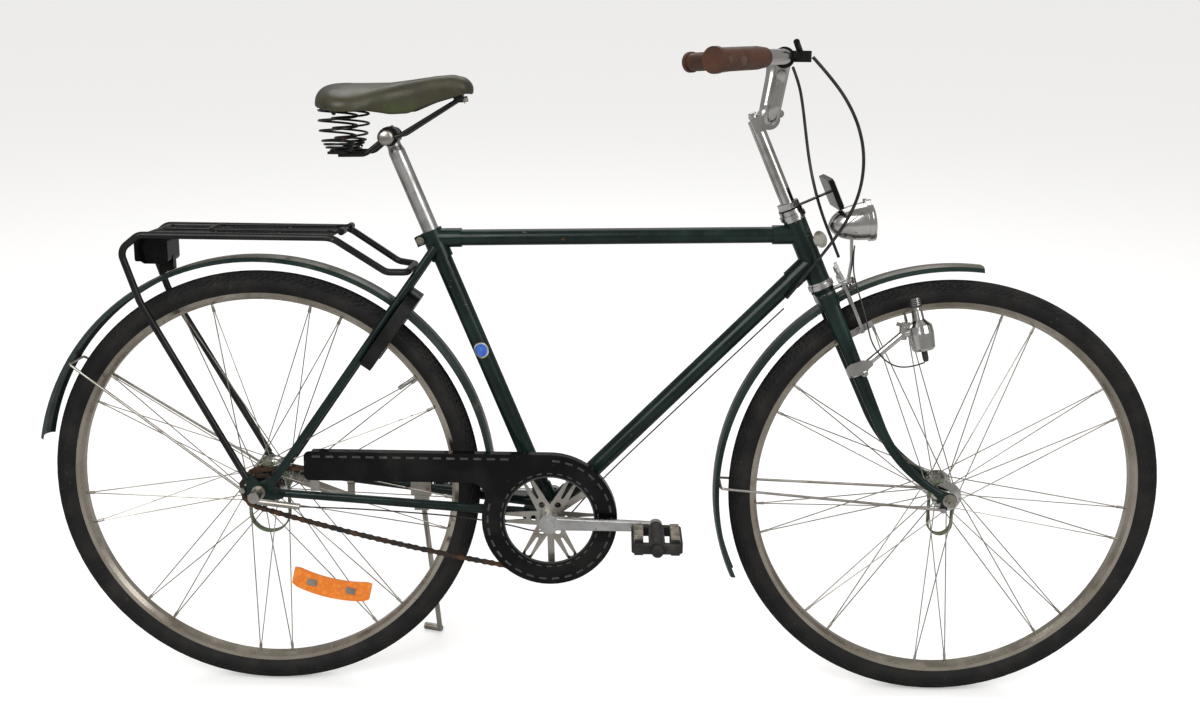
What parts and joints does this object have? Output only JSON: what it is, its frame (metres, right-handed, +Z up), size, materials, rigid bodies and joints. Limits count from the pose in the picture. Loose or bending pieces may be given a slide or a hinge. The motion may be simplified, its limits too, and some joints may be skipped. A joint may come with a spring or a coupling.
{
  "type": "city bicycle",
  "caption": "Diamond-frame city bicycle with mudguards, chain guard, rear carrier, dynamo lights and side stand; wheels, cranks, pedals, steering and stand move.",
  "frame": {"origin": "centre of the base of the bounding box, on the floor", "axes": "+X forward, +Y to the bicycle's left, +Z up; the bicycle leans 7 degrees to its left on the side stand"},
  "size_m": [1.8196, 0.6066, 1.0758],
  "materials": {
    "frame_paint": "dark green metallic enamel, scratched and dusty",
    "black_paint": "black enamel, rubbed at the edges",
    "mudguard_paint": "dark green enamel under road dirt",
    "bright_steel": "dulled chrome with small rust spots",
    "zinc_steel": "dull zinc-plated steel with rust",
    "dark_steel": "oily, browned chain steel",
    "alloy": "worn satin aluminium",
    "tyre": "dusty black rubber",
    "grip": "brown, faded rubber",
    "leather": "olive-brown worn leather",
    "strap": "grey-green leather",
    "black_plastic": "glossy black plastic, dusty",
    "dark_plastic": "dark grey plastic",
    "cable_black": "black cable sleeve",
    "clear_lens": "clear ribbed glass",
    "white_reflector": "pale reflector plastic"
  },
  "bodies": {
    "frame": {"head_tube": "frame_paint", "headset_cups": "bright_steel", "top_tube": "frame_paint", "down_tube": "frame_paint", "seat_tube": "frame_paint", "bottom_bracket": "frame_paint", "chain_stays": "frame_paint", "seat_stays": "frame_paint", "rear_axle": "zinc_steel", "rear_mudguard": "mudguard_paint", "rear_mudguard_stay": "zinc_steel", "chain_guard": "black_plastic", "chain_guard_brackets": "zinc_steel", "chain": "dark_steel", "seat_post": "alloy", "saddle_frame": "black_paint", "saddle_springs": "black_paint", "saddle_top": "leather", "rear_rack": "black_paint", "rack_clip": "black_paint", "tail_lamp": "dark_plastic", "ring_lock": "black_paint", "stand_bracket": "zinc_steel", "gear_wire": "cable_black"},
    "steering": {"fork": "frame_paint", "headset_nuts": "bright_steel", "stem": "bright_steel", "handlebar": "bright_steel", "grips": "grip", "brake_lever": "alloy", "gear_shifter": "black_plastic", "front_brake": "alloy", "head_lamp": "bright_steel", "head_lamp_lens": "clear_lens", "front_reflector": "white_reflector", "dynamo": "bright_steel", "front_axle": "zinc_steel", "front_mudguard": "mudguard_paint", "front_mudguard_stay": "zinc_steel", "gear_cable": "cable_black", "brake_cable": "cable_black", "lamp_wire": "cable_black"},
    "front_wheel": {"front_tyre": "tyre", "front_rim": "zinc_steel", "front_spokes": "zinc_steel", "front_hub": "bright_steel", "front_hub_strap": "strap"},
    "rear_wheel": {"rear_tyre": "tyre", "rear_rim": "zinc_steel", "rear_spokes": "zinc_steel", "rear_hub": "bright_steel", "rear_hub_strap": "strap", "rear_sprocket": "dark_steel"},
    "crank": {"cranks": "alloy", "chainwheel": "zinc_steel"},
    "right_pedal": {"right_pedal": "dark_plastic"},
    "left_pedal": {"left_pedal": "dark_plastic"},
    "stand": {"side_stand": "zinc_steel"}
  },
  "joints": [
    {"name": "steering", "type": "hinge", "parent": "frame", "child": "steering", "pos_m": [0.34482, -0.04239, 0.68772], "axis": [-0.4067, 0.1113, 0.9067], "range_deg": [-60, 60], "deforming": ["gear_cable"]},
    {"name": "front_wheel_spin", "type": "hinge", "parent": "steering", "child": "front_wheel", "pos_m": [0.56131, -0.08427, 0.34663], "axis": [0, 0.9925, -0.1219], "continuous": true},
    {"name": "rear_wheel_spin", "type": "hinge", "parent": "frame", "child": "rear_wheel", "pos_m": [-0.54269, -0.08427, 0.34663], "axis": [0, 0.9925, -0.1219], "continuous": true},
    {"name": "crank_spin", "type": "hinge", "parent": "frame", "child": "crank", "pos_m": [-0.07769, -0.08945, 0.30445], "axis": [0, 0.9925, -0.1219], "continuous": true},
    {"name": "right_pedal_spin", "type": "hinge", "parent": "crank", "child": "right_pedal", "pos_m": [0.09231, -0.22394, 0.32096], "axis": [0, 0.9925, -0.1219], "continuous": true},
    {"name": "left_pedal_spin", "type": "hinge", "parent": "crank", "child": "left_pedal", "pos_m": [-0.24769, 0.04504, 0.28793], "axis": [0, 0.9925, -0.1219], "continuous": true},
    {"name": "stand_fold", "type": "hinge", "parent": "frame", "child": "stand", "pos_m": [-0.29769, -0.03659, 0.29191], "axis": [-0.0373, 0.9954, -0.0881], "range_deg": [0, 90.8]}
  ]
}
